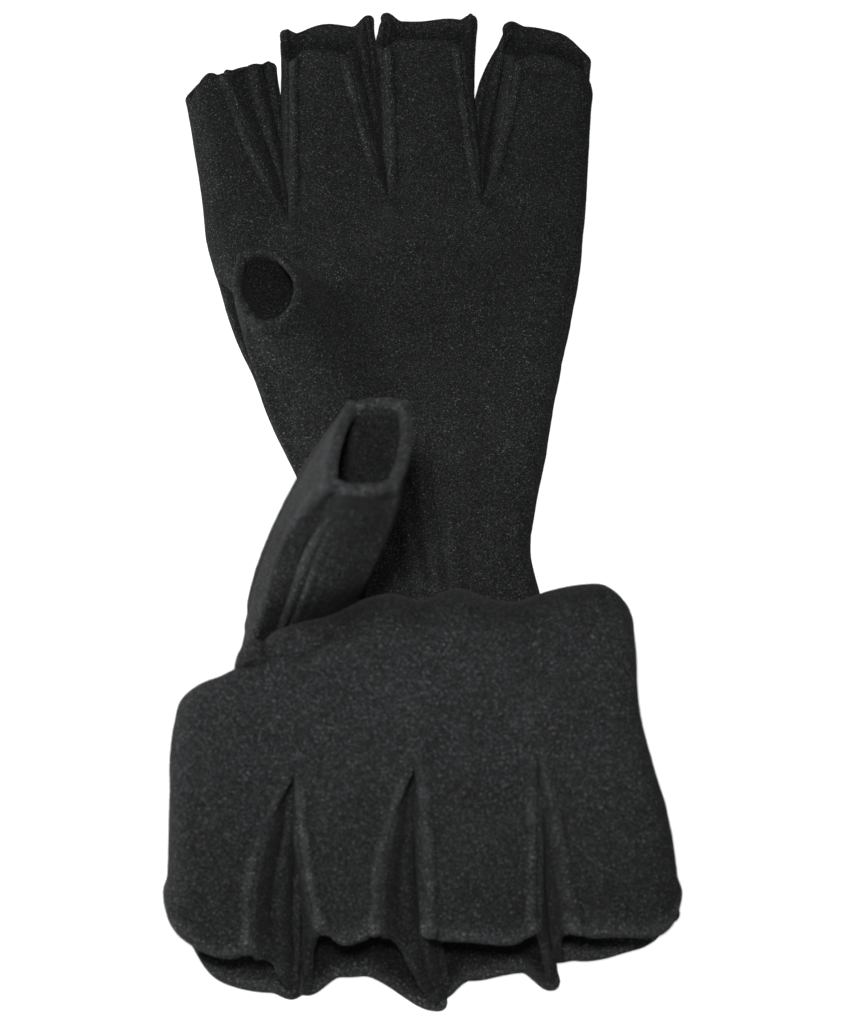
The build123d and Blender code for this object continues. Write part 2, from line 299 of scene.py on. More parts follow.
def sheet_mesh(name, middle, thickness=FABRIC, open_start=False, open_end=False, lumps=0.35, nap=0.09,
               lip=0.0, creased=0.0, inside="under", lining=-0.2, shade=0.0):
    """Closed mesh of a bent sheet, from its middle surface as an (n, m, 3) grid in mm.

    Cut edges are rounded.  At an open start or end the sheet goes on in another
    piece, so that edge is closed with a flat face and keeps its outline.  lumps and
    nap: how uneven the sheet and its faces are.  lip: how much thicker its far end
    is, on each side; that end also gets a painted highlight.  The point attribute
    added here holds painted light and shade: it runs from 0, painted shade in a
    crease, through 0.5 on the flat, to 1, a painted highlight on a ridge or a free
    edge.  Four options change it: one paints shade over the start of the sheet,
    inside says which of its faces is the inner one, one says how much painted shade
    that inner face gets, and shade, a number or a grid of them, is painted shade
    added all through the sheet.
    """
    along = np.gradient(middle, axis=0)
    across = np.gradient(middle, axis=1)
    normal = unit(np.cross(across, along))
    # painted highlight on ridges and painted shade in creases, from how sharply the sheet bends
    painted_shading = BEND_SHADING * np.clip(bending(middle, normal), -SHARPEST, SHARPEST)
    uneven = lumps * noise(middle, 17.0, 1) + 0.4 * lumps * noise(middle, 7.0, 2)
    middle = middle + normal * uneven[..., None]
    to_end = np.linalg.norm(middle - middle[-1:], axis=-1).min(axis=1)
    halves = thickness / 2 + lip * hill(to_end, LIP_LENGTH)
    # painted shade given by the shade option, all through the sheet
    tone = 0.5 + np.zeros(middle.shape[:2]) + shade
    # painted shade over the start of the sheet
    tone -= creased * smooth((0.4 - np.linspace(0, 1, len(middle))) / 0.14)[:, None]
    ahead, side = unit(along), unit(across)
    turns = np.linspace(0, np.pi, RIM_STEPS + 1)[1:-1]

    def ring(row, push):
        """Closed loop of points round the sheet at one row; push 0..1 rounds off an end."""
        half, squeeze = halves[row], np.cos(push * np.pi / 2)
        reach = ahead[row] * half * np.sin(push * np.pi / 2) * (-1 if row == 0 else 1)
        base = middle[row] + reach
        up = normal[row] * half * squeeze
        out = side[row] * half * squeeze
        right = np.array([base[-1] + up[-1] * np.cos(t) + out[-1] * np.sin(t) for t in turns])
        left = np.array([base[0] - up[0] * np.cos(t) - out[0] * np.sin(t) for t in turns])
        points = np.concatenate([base + up, right, (base - up)[::-1], left])
        centre = np.concatenate([base, np.repeat(base[-1:], len(turns), 0), base[::-1],
                                 np.repeat(base[:1], len(turns), 0)])
        # the small step ahead keeps this from being zero where an end closes to a line
        outwards = unit(points - centre + ahead[row].mean(0) * 1e-3)
        points = displaced(points, outwards, nap)
        points[:, 2] = np.maximum(points[:, 2], TABLE_GAP)
        return points

    def ring_shading(row):
        """Painted light and shade of the points of one ring, in the same order."""
        # painted highlight along the thicker open end
        edge = min(lip * 0.7, 0.45) * hill(to_end[row], 0.8 * LIP_LENGTH)
        # painted shade on the inner face, gone right at the open end
        inner = lining * (1 - hill(to_end[row], LIP_LENGTH))
        over, under = (inner, 0.0) if inside == "over" else (0.0, inner)
        upper, lower = tone[row] + painted_shading[row] + over, tone[row] - painted_shading[row] + under
        # painted highlight along the cut sides
        left, right = (np.full(len(turns), tone[row][k] + EDGE_HIGHLIGHT) for k in (0, -1))
        return edge + np.concatenate([upper, right, lower[::-1], left])

    ends = np.linspace(0, 1, RIM_STEPS // 2 + 1)[1:]
    places = [] if open_start else [(0, push) for push in ends[::-1]]
    places += [(row, 0.0) for row in range(len(middle))]
    places += [] if open_end else [(len(middle) - 1, push) for push in ends]
    rings = np.array([ring(row, push) for row, push in places])
    values = np.array([ring_shading(row) for row, push in places])
    rows, loop = rings.shape[:2]
    index = np.arange(rows * loop).reshape(rows, loop)
    around = np.roll(index, -1, axis=1)
    quads = np.stack([index[:-1], around[:-1], around[1:], index[1:]], axis=-1).reshape(-1, 4)
    # caps: join the upper and lower points of the first and last ring
    width = middle.shape[1]
    caps = []
    for row, flip in ((0, 1), (rows - 1, 0)):
        top = index[row][:width]
        bottom = index[row][width + len(turns):2 * width + len(turns)][::-1]
        strip = np.stack([top[:-1], top[1:], bottom[1:], bottom[:-1]], axis=-1)
        caps.append(strip[:, ::-1] if flip else strip)
        right = index[row][width - 1:width + len(turns) + 1]
        left = np.concatenate([index[row][2 * width + len(turns) - 1:], index[row][:1]])
        caps.append([list(right[::-1]) if flip else list(right)])
        caps.append([list(left[::-1]) if flip else list(left)])
    faces = [list(face) for face in quads]
    first_cap = len(faces)
    for group in caps:
        faces += [list(face) for face in group]
    mesh = bpy.data.meshes.new(name)
    mesh.from_pydata((rings.reshape(-1, 3) * MM).tolist(), [], [[int(i) for i in face] for face in faces])
    mesh.shade_smooth()
    attribute = mesh.attributes.new("painted_shading", "FLOAT", "POINT")
    attribute.data.foreach_set("value", np.clip(values, 0, 1).ravel())
    cap_corners = set()
    for face in faces[first_cap:]:
        cap_corners |= {frozenset(edge) for edge in zip(face, list(face[1:]) + [face[0]])}
    for edge in mesh.edges:
        if frozenset(edge.vertices) in cap_corners:
            edge.use_edge_sharp = True
    mesh.validate()
    return mesh


DOUBLED = 0.02      # points closer than this are joined


def tidy_mesh(obj):
    """Joins doubled points and makes every face look outwards."""
    work = bmesh.new()
    work.from_mesh(obj.data)
    bmesh.ops.remove_doubles(work, verts=work.verts, dist=DOUBLED * MM)
    bmesh.ops.recalc_face_normals(work, faces=work.faces)
    work.to_mesh(obj.data)
    work.free()


def add_piece(name, middle, material, slot, **options):
    mesh = sheet_mesh(name, middle, **options)
    obj = bpy.data.objects.new(name, mesh)
    bpy.context.scene.collection.objects.link(obj)
    tidy_mesh(obj)
    mesh.materials.append(material)
    return obj


def lining_side(glove, layer):
    """Which face of a layer is inside: the gloves are laid out as mirror images."""
    return "under" if (layer == "palm") == (glove.palm_side > 0) else "over"


def spacing(length):
    """How many mesh points a length gets."""
    return max(4, int(round(length / GRID)) + 1)


# ------------------------------------------------------------------ cross sections
CORNER_TURN = 0.97 * np.pi / 2
CORNER_LENGTH = CORNER_TURN * np.hypot(CORNER_U, CORNER_W) / np.sqrt(2)


def cross(left, right, curl_left, curl_right, t):
    """(u, w) at shares t of the way across a layer whose curled sides bend down."""
    flat = right - left - CORNER_U * (curl_left + curl_right)
    total = flat + CORNER_LENGTH * (curl_left + curl_right)
    run = t * total
    u = left + CORNER_U * curl_left + run - CORNER_LENGTH * curl_left
    w = 0.0 * u
    if curl_left:
        angle = np.clip(1 - run / CORNER_LENGTH, 0, 1) * CORNER_TURN
        inside = run < CORNER_LENGTH
        u = np.where(inside, left + CORNER_U * (1 - np.sin(angle)), u)
        w = np.where(inside, -CORNER_W * (1 - np.cos(angle)), w)
    if curl_right:
        angle = np.clip((run - total) / CORNER_LENGTH + 1, 0, 1) * CORNER_TURN
        inside = run > total - CORNER_LENGTH
        u = np.where(inside, right - CORNER_U * (1 - np.sin(angle)), u)
        w = np.where(inside, -CORNER_W * (1 - np.cos(angle)), w)
    return u, w


def hand_sides(glove, s):
    """Middle surface of the hand's left and right sides at distance s."""
    return 1 - glove.half_left(s), glove.half_right(s) - 1


def palm_inset(glove, side, s):
    """How far the palm's edge is drawn in from the side of the hand."""
    if glove.name == "left" and side == 0:
        return LEFT_INSET(s)
    return 0.0 * s


def hand_dome(glove, u, s):
    """How far the palm stands proud of its sides."""
    left, right = hand_sides(glove, s)
    share = np.clip((u - left) / (right - left), 0, 1)
    return glove.puff * (0.4 + 0.6 * smooth(s / 35)) * arc(share) ** 0.8


def puckers(glove, u, s):
    """Short raised folds where two fingers meet."""
    total = 0.0 * u
    for finger in list(FINGERS[glove.name].values())[:-1]:
        root_u, root_s = finger.root[1], finger.crotch[1]
        total = total + 0.8 * hill(u - root_u, 1.6) * hill(s - root_s + 1.0, 2.4)
    return total


def gathers(u, s):
    """Small upright folds that the wrist elastic makes."""
    folds = np.sin(u * 1.25 + 0.9 * np.sin(u * 0.31) + s * 0.03)
    strength = 0.65 + 0.35 * np.sin(u * 0.23 + 1)
    waist = 0.8 * hill(s + 3, 9)
    return 0.12 * hill(s + 3, 17) * folds * strength - waist


HAND_SPAN = 112.0       # about the widest the palm is, round its curled sides


def hand_panel(glove, layer):
    """Middle surface of the palm or back panel up to the finger panels, and how dark it is."""
    s = np.linspace(CUFF_END, SPLIT, spacing(SPLIT - CUFF_END))[:, None]
    t = np.linspace(0, 1, spacing(HAND_SPAN))[None, :]
    left, right = hand_sides(glove, s)
    inset = palm_inset(glove, 0, s) if layer == "palm" else 0.0
    u, w = cross(left + inset, right, 1, 1, t)
    w = w + 0.3 * inset * hill(u - left - inset - 1.6, 0.9)
    s = s + 0 * u
    if layer == "back":
        return glove.place(u, s, BACK_W - w - 0.5 * gathers(u + 3, s)), 0.0
    w = w + hand_dome(glove, u, s) + gathers(u, s) + puckers(glove, u, s) + glove.pleat(u, s)
    # the glove's gloom is painted shade on the palm layer
    return glove.place(u, s, w), -glove.gloom(u, s)


# ------------------------------------------------------------------ fingers
class Finger:
    """Outline of one finger in the pattern frame.

    root: left and right ends at the bend.  crotch: where each side leaves its
    neighbour.  front and back: left and right at the tip, then where the left and
    right corners end.  bow: how soon each side of the palm side moves over to its
    place at the tip (above 0 is soon).  gap: how late each side of the back leaves
    its neighbour (above 1 is late).  points: length and width of the back's pointed
    corners.  curl: 1 for a side that bends down to the outer seam of the hand.
    dome: bulge of the back's end.
    """

    def __init__(self, root, crotch, front, back, points, gap, bow=(0, 0), curl=(0, 0), dome=0.0):
        self.root, self.crotch, self.bow, self.gap = root, crotch, bow, gap
        self.front, self.back, self.points = front, back, points
        self.curl, self.dome = curl, dome

    def edge(self, glove, side, layer, s):
        """u of one edge of one layer at distance s."""
        outline = self.front if layer == "front" else self.back
        tip, end = outline[side], outline[2 + side]
        start = self.crotch[side]
        share = np.clip((s - start) / (end - start), 0, 1)
        if layer == "front" or self.curl[side]:
            share = share + self.bow[side] * share * (1 - share)
        else:
            share = share ** self.gap[side]
        if not self.curl[side]:
            return self.root[side] + (tip - self.root[side]) * share
        hand = hand_sides(glove, s)[side]
        own = tip + (hand_sides(glove, SPLIT)[side] - tip) * (1 - share)
        leave = smooth((s - SPLIT) / 20)
        return hand * (1 - leave) + own * leave


FINGERS = {
    "left": {
        "index": Finger((-51.5, -28.4), (90, 93.0), (-53.5, -44, 133, 138.5), (-54.2, -30.6, 136.5, 140.5),
                        ((0.5, 3), (2.0, 4)), gap=(1, 2.5), curl=(1, 0), bow=(0.3, 0.3), dome=2.6),
        "middle": Finger((-28.4, -1.7), (93.0, 96.5), (-24.9, -10.5, 141, 141.5), (-26.8, -2.6, 149, 150),
                         ((2.2, 4), (3.5, 5)), gap=(2.5, 6), bow=(0, 0.3), dome=2.0),
        "ring": Finger((-1.7, 23.0), (96.5, 94.0), (1.0, 20.5, 142.5, 142), (1.6, 26.2, 150.5, 149.5),
                       ((3.0, 4.5), (2.2, 4)), gap=(6, 3), bow=(0.8, 0.5), dome=1.0),
        "little": Finger((23.0, 51.5), (94.0, 90), (37.0, 56.8, 137, 131), (35.2, 56.8, 146, 139.5),
                         ((2.6, 5), (0.5, 3)), gap=(4, 1), curl=(0, 1), bow=(0.3, 0.3), dome=3.6),
    },
    "right": {
        "index": Finger((-52, -24.6), (90, 97.5), (-53.2, -35.5, 134.5, 141), (-51.8, -26, 139.5, 150.5),
                        ((1.0, 3), (3.0, 6)), gap=(1, 2), curl=(1, 0), bow=(0, 1.5), dome=7.0),
        "middle": Finger((-24.6, 0.0), (97.5, 96), (-19.8, -8.3, 136, 136), (-25.0, 5.0, 149, 149),
                         ((5.0, 8), (8.0, 17)), gap=(2, 2), bow=(-0.9, 1.5)),
        "ring": Finger((0.0, 24.0), (96, 89.5), (2.4, 24.6, 136, 136), (5.2, 30.0, 150.5, 148.0),
                       ((4.5, 6), (4.0, 7)), gap=(2, 2), bow=(1.5, 0)),
        "little": Finger((24.0, 51), (89.5, 90), (33.5, 55.8, 135.5, 134.5), (30.3, 55.6, 145.5, 141),
                         ((1.0, 4), (0.0, 3)), gap=(2, 1), curl=(0, 1), bow=(0.2, 0.6), dome=1.5),
    },
}
CORNER_CUT = {"left": 3.6, "right": 6.0}        # how far the outermost corners are rounded off
ARCH = {"left": 1.4, "right": 0.5}              # how far the open ends of the palm side bow out
TIP_CLOSING = {"left": 4.2, "right": 0.2}       # the open end is this much thinner than the hand
FINGER_LIP = {"left": 0.2, "right": 0.8}        # extra half thickness of the open ends
FINGER_GLOOM = {"left": 0.14, "right": 0.0}     # painted shade over the far half of a finger, which curls up towards the light
BACK_INSIDE_SHADE = {"left": -0.25, "right": -0.45}   # painted shade on the inside of a finger's back
FINGER_CROWN = 0.8                              # the palm side of a finger stands this proud
SEAM_PUFF = 0.8                                 # and its sewn edges this much more
END_CORNER = 2.2                                # width of the rounding of an open end's corners
OUTER_CORNER = 4.0                              # the same for the outermost corners


def closing(glove, s):
    """The layers of a finger come together towards its open end."""
    return TIP_CLOSING[glove.name] * smooth((s - 110) / 45)


def finger_front(glove, finger):
    """Middle surface of the palm side of a finger."""
    t = np.linspace(0, 1, spacing(26))[None, :]
    end = finger.front[2] + (finger.front[3] - finger.front[2]) * t
    width = finger.front[1] - finger.front[0]
    corners = hill(t * width, END_CORNER) + hill((1 - t) * width, END_CORNER)
    end = end + 0.5 * np.sin(t * 7.0 + finger.front[0]) + ARCH[glove.name] * arc(t) - 1.3 * corners
    for side, share in ((0, t), (1, 1 - t)):
        if finger.curl[side]:
            end = end - 0.8 * CORNER_CUT[glove.name] * hill(share * width, OUTER_CORNER)
    b = np.linspace(0, 1, spacing(44))[:, None]
    s = SPLIT + (end - SPLIT) * b
    left, right = finger.edge(glove, 0, "front", s), finger.edge(glove, 1, "front", s)
    u, w = cross(left, right, *finger.curl, t)
    share = np.clip((u - left) / (right - left), 0, 1)
    settled = smooth((s - SPLIT) / 20)
    crown = FINGER_CROWN * arc(share) ** 0.7
    for side, edge in ((0, left), (1, right)):
        if not finger.curl[side]:
            opened = smooth((s - finger.crotch[side]) / 8) * (1 + 0.35 * np.sin(s * 0.55 + edge))
            crown = crown + SEAM_PUFF * opened * hill(np.abs(u - edge) - 0.3, 0.9)
    dome = hand_dome(glove, u, np.minimum(s, CREASE))
    w = w + dome * (1 - settled) + crown * settled + puckers(glove, u, s)
    return glove.place(u, s, w)


def ear(x):
    """Corner with a rounded point, 1 near x = 0 and gone at x = 1."""
    return np.cos(np.clip(np.abs(x - 0.06) / 0.94, 0, 1) * np.pi / 2) ** 1.6


def finger_back(glove, finger):
    """Middle surface of the back side of a finger, with its pointed corners."""
    t = np.linspace(0, 1, spacing(28))[None, :]
    width = finger.back[1] - finger.back[0]
    ears = 0
    for (point, reach), share in ((finger.points[0], t), (finger.points[1], 1 - t)):
        ears = ears + point * ear(share * width / reach)
    end = finger.back[2] + (finger.back[3] - finger.back[2]) * t + ears
    for side, share in ((0, t), (1, 1 - t)):
        if finger.curl[side]:
            end = end - CORNER_CUT[glove.name] * hill(share * width, OUTER_CORNER)
    end = end + finger.dome * arc(t) + 0.4 * np.sin(t * 9.0 + finger.back[1])
    b = np.linspace(0, 1, spacing(56))[:, None]
    s = SPLIT + (end - SPLIT) * b
    left, right = finger.edge(glove, 0, "back", s), finger.edge(glove, 1, "back", s)
    u, w = cross(left, right, *finger.curl, t)
    return glove.place(u, s, BACK_W - w + closing(glove, s))


def finger_wall(glove, finger, side):
    """Middle surface of the strip between the palm side and the back side of a finger."""
    inwards = 1 if side == 0 else -1
    a = np.linspace(0, 1, spacing(11))[None, :]
    front_end = finger.front[2 + side] + 0.5
    back_end = finger.back[2 + side] + 0.75 * finger.points[side][0]
    end = front_end + (back_end - front_end) * np.sin(a * np.pi / 2) ** 1.6
    start = finger.crotch[side] - 1.0
    b = np.linspace(0, 1, spacing(55))[:, None]
    s = start + (end - start) * b
    apart = smooth((s - finger.crotch[side] - 3) / 15)
    front_u = finger.edge(glove, side, "front", s) + inwards * (0.9 - 2.1 * apart)
    back_u = finger.edge(glove, side, "back", s) + inwards * 0.9
    front_w = -FABRIC * 0.7 + 1.0 * apart + 0 * a
    back_w = BACK_W + FABRIC * 0.9 + closing(glove, s)
    grown = smooth((s - start) / 14)
    bulge = 0.9 * np.sin(np.pi * a) * grown
    u = front_u + (back_u - front_u) * a - inwards * bulge
    ribs = 0.9 * np.cos(2 * np.pi * (1.9 * a + 0.05 * np.sin(s * 0.2))) * grown
    w = front_w + (back_w - front_w) * a + ribs * np.minimum(np.abs(back_u - front_u) / 8, 1)
    return glove.place(u, s, w)


def side_strip(glove, side, start, end, edge):
    """Middle surface of the narrow seam between the palm layer and the back layer."""
    s = np.linspace(start, end, spacing(end - start))[:, None]
    outwards = -1 if side == 0 else 1
    across = np.linspace(0, 1, 5)[None, :]
    reach = -0.2 * across - (2.4 + palm_inset(glove, side, s)) * (1 - across)
    u = edge(s) + outwards * (reach + 0.25 * np.sin(s * 0.9))
    w = SEAM_W + 0 * u
    if outwards < 0:
        u = u[:, ::-1]
    return glove.place(u, s + 0 * u, w)


def outer_edge(glove, finger, side, s):
    """Outside edge of a finger's seam, halfway between its two layers."""
    front = finger.edge(glove, side, "front", s)
    back = finger.edge(glove, side, "back", s)
    return (front + back) / 2


# ------------------------------------------------------------------ thumbs
def rail(*points):
    """Smooth 3D curve through points, as a function of the share 0..1 along it."""
    points = np.array(points, float)
    steps = np.linalg.norm(np.diff(points, axis=0), axis=1)
    share = np.concatenate([[0], np.cumsum(steps)]) / steps.sum()
    parts = [curve(*zip(share, points[:, k])) for k in range(3)]
    return lambda t: np.stack([part(t) for part in parts], axis=-1)


# Rails run along the seams of a thumb, from its base to its open end, in scene mm.
THUMB_RAILS = {
    "left": {
        "near_left": rail((-28.5, 2, 10.2), (-30.8, 7, 11.3), (-35.6, 16, 15.5), (-39.5, 26, 22.5),
                          (-42.2, 33.0, 28.5), (-43.2, 37, 34)),
        "near_right": rail((0, -2, 10.2), (-6, 5, 11.6), (-13, 14, 14.2), (-20, 23, 18.5),
                           (-26.5, 31, 24.5), (-31.2, 35.5, 31), (-32.6, 36.8, 34)),
        "far_right": rail((-10, 55, 10.2), (-15, 54.8, 12), (-20, 54.3, 15.2), (-25, 53.6, 20),
                          (-29.5, 52.8, 26), (-32.4, 53, 31), (-33.4, 53.2, 33.5)),
        "far_left": rail((-38, 46, 7.5), (-41, 48, 12), (-43.4, 51, 18), (-44.8, 53.5, 25),
                         (-45, 54.5, 33)),
    },
    "right": {
        "near_left": rail((-39.4, -51.5, 36), (-38.0, -48.6, 38.5), (-35.6, -45, 42), (-31.5, -37.5, 50),
                          (-27.7, -31, 60), (-22.8, -28, 71), (-19, -27.7, 80), (-18.3, -28, 82)),
        "near_right": rail((-17, -37, 30), (-16.3, -36, 35), (-12.6, -33.5, 50), (-8.6, -29.5, 62),
                           (-6.2, -28, 74), (-5.6, -27.8, 81)),
        "far_right": rail((-17, -33, 20), (-14.2, -28.5, 27), (-9.5, -20, 40), (-4.8, -9, 60),
                          (-3.8, -4.6, 70)),
        "far_left": rail((-38.9, -44, 23), (-38.3, -39.8, 30), (-35.8, -32.5, 40), (-29.8, -24, 54),
                         (-23.5, -15.3, 62), (-15, -4.8, 70)),
    },
}
# each panel: its two rails and how far it bulges out between them at its base and its tip
THUMB_PANELS = {
    "left": {
        "thumb_wrist_side": ("near_left", "near_right", 0.5, 2.3),
        "thumb_palm_gusset": ("near_right", "far_right", 0.0, 2.8),
        "thumb_finger_side": ("far_right", "far_left", 1.0, 2.3),
        "thumb_outer_gusset": ("far_left", "near_left", 1.0, 1.8),
    },
    "right": {
        "thumb_finger_side": ("near_left", "near_right", 3.6, 0.7),
        "thumb_palm_gusset": ("near_right", "far_right", 1.5, 1.0),
        "thumb_wrist_side": ("far_right", "far_left", 2.0, 0.6),
        "thumb_outer_gusset": ("far_left", "near_left", 0.6, 0.9),
    },
}
# how far the seam along each rail stands proud
THUMB_RIDGES = {
    "left": {"near_left": 0.7, "near_right": 0.0, "far_right": 0.0, "far_left": 0.7},
    "right": {"near_left": 1.1, "near_right": 0.6, "far_right": 0.6, "far_left": 0.7},
}
# how far each corner of a thumb's opening is drawn in
OPENING_ROUND = {
    "left": {"near_left": 1.4, "near_right": 0.3, "far_right": 0.6, "far_left": 0.3},
    "right": {"near_left": 1.2, "near_right": 1.2, "far_right": 1.2, "far_left": 1.2},
}
OPENING_HEM = {"left": 0.3, "right": 0.0}       # and how far all of its edge is
CRUMPLE = {"left": 0.0, "right": 1.1}           # unevenness where the thumb is sewn to the palm
THUMB_LIP = {"left": 0.12, "right": 0.3}        # extra half thickness of the open end
# Creases (below 0) and ridges at the base of the right thumb's near panel: place and
# width as shares of the panel's width, and height.
BASE_FOLDS = ((0.16, 0.05, -2.4), (0.24, 0.03, 1.4), (0.29, 0.035, -1.0), (0.35, 0.03, 0.5),
              (0.42, 0.04, -0.5))
BASE_DARKENING = 0.45                           # painted shade over the base of the same panel, where it goes into the hand
# start and end of the stretch over which each thumb is meant to bend; passed on, but nothing bends the
# thumb
THUMB_BENDS = {"left": ((-19, 16, 13), (-19, 16, 28)), "right": ((-25, -40, 34), (-25, -40, 50))}


def is_creased(glove, first):
    """Whether a thumb panel, known by its first rail, is the one with the base folds."""
    return glove == "right" and first == "near_left"


def thumb_panel(glove, first, second, base_bulge, tip_bulge):
    """Middle surface of one thumb panel, from its base to its open end."""
    rails = THUMB_RAILS[glove]
    t = np.linspace(0, 1, spacing(62))
    a = np.linspace(0, 1, spacing(24))[None, :, None]
    start, end = rails[first](t)[:, None], rails[second](t)[:, None]
    centre = np.mean([along(t) for along in rails.values()], axis=0)[:, None]
    t = t[:, None, None]
    out = unit((start + end) / 2 - centre)
    bulge = base_bulge + (tip_bulge - base_bulge) * t
    flat = start * (1 - a) + end * a + out * bulge * arc(a)

    def at_sides(strength, width):
        return strength[first] * hill(a, width) + strength[second] * hill(1 - a, width)

    drawn_in = smooth((t - 0.88) / 0.12) * (at_sides(OPENING_ROUND[glove], 0.16) + OPENING_HEM[glove])
    flat = flat - unit(flat - centre) * drawn_in
    crumpled = CRUMPLE[glove] * smooth(1 - t * 2.6) * noise(flat, 4.0, 5)[..., None]
    flat = flat + unit(flat - centre) * crumpled
    ridge = at_sides(THUMB_RIDGES[glove], 0.07)
    if is_creased(glove, first):
        for place, width, height in BASE_FOLDS:
            ridge = ridge + height * (1 - t) ** 1.6 * hill(a - place - 0.05 * t, width)
    return flat + unit(flat - centre) * (smooth(t * 9) * ridge)


# ------------------------------------------------------------------ elastic
ELASTIC_THICKNESS = 0.8


def elastic_band(glove):
    """Middle surface of the loop of elastic inside the wrist, its ends lapped."""
    half_u = glove.half_right(0.0) - 3.4
    half_w = HOLLOW / 2 - ELASTIC_THICKNESS
    angle = np.linspace(0, 2 * np.pi + 0.12, spacing(100))[None, :]
    s = np.linspace(-ELASTIC_HALF_WIDTH, ELASTIC_HALF_WIDTH, 11)[:, None]
    inset = ELASTIC_THICKNESS * angle / (2 * np.pi)
    c, d = np.cos(angle), np.sin(angle)
    u = (half_u - inset) * np.sign(c) * np.abs(c) ** 0.6
    w = SEAM_W + (half_w - inset) * np.sign(d) * np.abs(d) ** 0.6 + 0.15 * np.sin(angle * 30)
    return glove.place(u + 0 * s, s + 0 * u, w + 0 * s)


# ------------------------------------------------------------------ materials
class Nodes:
    """Short way to write a material's node tree."""

    def __init__(self, name):
        self.material = bpy.data.materials.new(name)
        self.material.use_nodes = True
        self.tree = self.material.node_tree
        self.shader = self.tree.nodes["Principled BSDF"]

    def add(self, kind, settings=None, **inputs):
        """New node; an underscore in the name of an input stands for a space."""
        node = self.tree.nodes.new(kind)
        for key, value in (settings or {}).items():
            setattr(node, key, value)
        for key, value in inputs.items():
            self.feed(node.inputs[key.replace("_", " ")], value)
        return node

    def feed(self, socket, value):
        """Links a socket to value, or sets it if value isn't another node's output."""
        if isinstance(value, bpy.types.NodeSocket):
            self.tree.links.new(value, socket)
        else:
            socket.default_value = value

    def surface(self, inputs):
        """Sets or links inputs of the material's shader."""
        for name, value in inputs.items():
            self.feed(self.shader.inputs[name], value)

    def ramp(self, factor, stops):
        """Colour from a factor, through (position, colour) stops."""
        node = self.add("ShaderNodeValToRGB", Fac=factor)
        elements = node.color_ramp.elements
        while len(elements) < len(stops):
            elements.new(0.5)
        for element, (position, colour) in zip(elements, stops):
            element.position = position
            element.color = (*colour, 1)
        return node.outputs["Color"]

    def mix(self, factor, first, second, mode="MIX"):
        node = self.add("ShaderNodeMix", {"data_type": "RGBA", "blend_type": mode})
        # inputs 6 and 7 and output 2 are the colour ones
        self.feed(node.inputs[0], factor)
        self.feed(node.inputs[6], first)
        self.feed(node.inputs[7], second)
        return node.outputs[2]


COOL = -0.03                # the fleece is very slightly blue


def grey(value, warm=0.0):
    """Grey of a brightness, redder if warm is above 0 and bluer below."""
    return (value * (1 + warm), value, value * (1 - warm))


def fleece(name, tone):
    """Short dense pile: nearly black, with pale fibre tips and a soft sheen."""
    nodes = Nodes(name)
    place = nodes.add("ShaderNodeTexCoord").outputs["Object"]
    mottle = nodes.add("ShaderNodeTexNoise", Vector=place, Scale=110.0, Detail=3.0, Roughness=0.6)
    tufts = nodes.add("ShaderNodeTexNoise", Vector=place, Scale=2100.0, Detail=2.0, Roughness=0.7)
    tips = nodes.add("ShaderNodeTexNoise", Vector=place, Scale=3100.0, Detail=0.0)
    dark, pale = grey(tone * 0.86, COOL), grey(tone * 1.16, COOL)
    base = nodes.ramp(mottle.outputs["Fac"], [(0.3, dark), (0.7, pale)])
    shade = nodes.ramp(tufts.outputs["Fac"], [(0.3, grey(0.3)), (0.5, grey(0.85)), (0.72, grey(2.1))])
    colour = nodes.mix(1.0, base, shade, "MULTIPLY")
    fleck = nodes.ramp(tips.outputs["Fac"], [(0.68, grey(0.0)), (0.8, grey(1.0))])
    colour = nodes.mix(fleck, colour, (*grey(tone * 7, -0.04), 1))
    painted_shading = nodes.add("ShaderNodeAttribute", {"attribute_name": "painted_shading"}).outputs["Fac"]
    # painted light and shade carried by the mesh: darker in creases and shaded places, paler on ridges and
    # free edges
    painted_light_and_shade = nodes.ramp(painted_shading, [(0.0, grey(0.3)), (0.45, grey(1.0)), (0.55, grey(1.0)), (1.0, grey(1.9))])
    colour = nodes.mix(1.0, colour, painted_light_and_shade, "MULTIPLY")
    fuzz = nodes.add("ShaderNodeBump", Strength=0.7, Distance=0.0003, Height=tufts.outputs["Fac"])
    nodes.surface({
        "Base Color": colour, "Normal": fuzz.outputs["Normal"],
        "Roughness": 0.95, "Specular IOR Level": 0.12,
        "Sheen Weight": 0.09, "Sheen Roughness": 0.4, "Sheen Tint": (0.30, 0.30, 0.31, 1),
    })
    return nodes.material


def ribbed_elastic():
    """Black elastic with fine ribs."""
    nodes = Nodes("elastic")
    place = nodes.add("ShaderNodeTexCoord").outputs["Object"]
    ribs = nodes.add("ShaderNodeTexWave", {"bands_direction": "Y"}, Vector=place, Scale=320.0,
                     Distortion=0.4)
    colour = nodes.ramp(ribs.outputs["Fac"], [(0.2, grey(0.012)), (0.8, grey(0.035))])
    bump = nodes.add("ShaderNodeBump", Strength=0.6, Distance=0.0003, Height=ribs.outputs["Fac"])
    nodes.surface({"Base Color": colour, "Normal": bump.outputs["Normal"], "Roughness": 0.6})
    return nodes.material


MATERIALS = {
    "fleece": fleece("fleece", 0.020),
    "fourchette_fleece": fleece("fourchette_fleece", 0.0205),
    "seam_fleece": fleece("seam_fleece", 0.021),
    "elastic": ribbed_elastic(),
}


# ------------------------------------------------------------------ pieces
def make(node, slot, middle, replaces=None, bend=None, body=None, **options):
    """One piece in place of its CAD nodes, riding on a body, or, when a bend is given, with its placing
    baked into its mesh and no body.

    bend: the two bodies, and where the stretch that bends starts and ends; only whether it is given is
    used.
    """
    obj = add_piece(f"cloth_{node}", middle, MATERIALS[slot], slot, **options)
    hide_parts(*(replaces or [node]))
    if bend:
        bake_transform(obj)
    else:
        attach(obj, body)


SEAM_GLOOM = 0.25           # painted shade on the recessed seams beside the palm
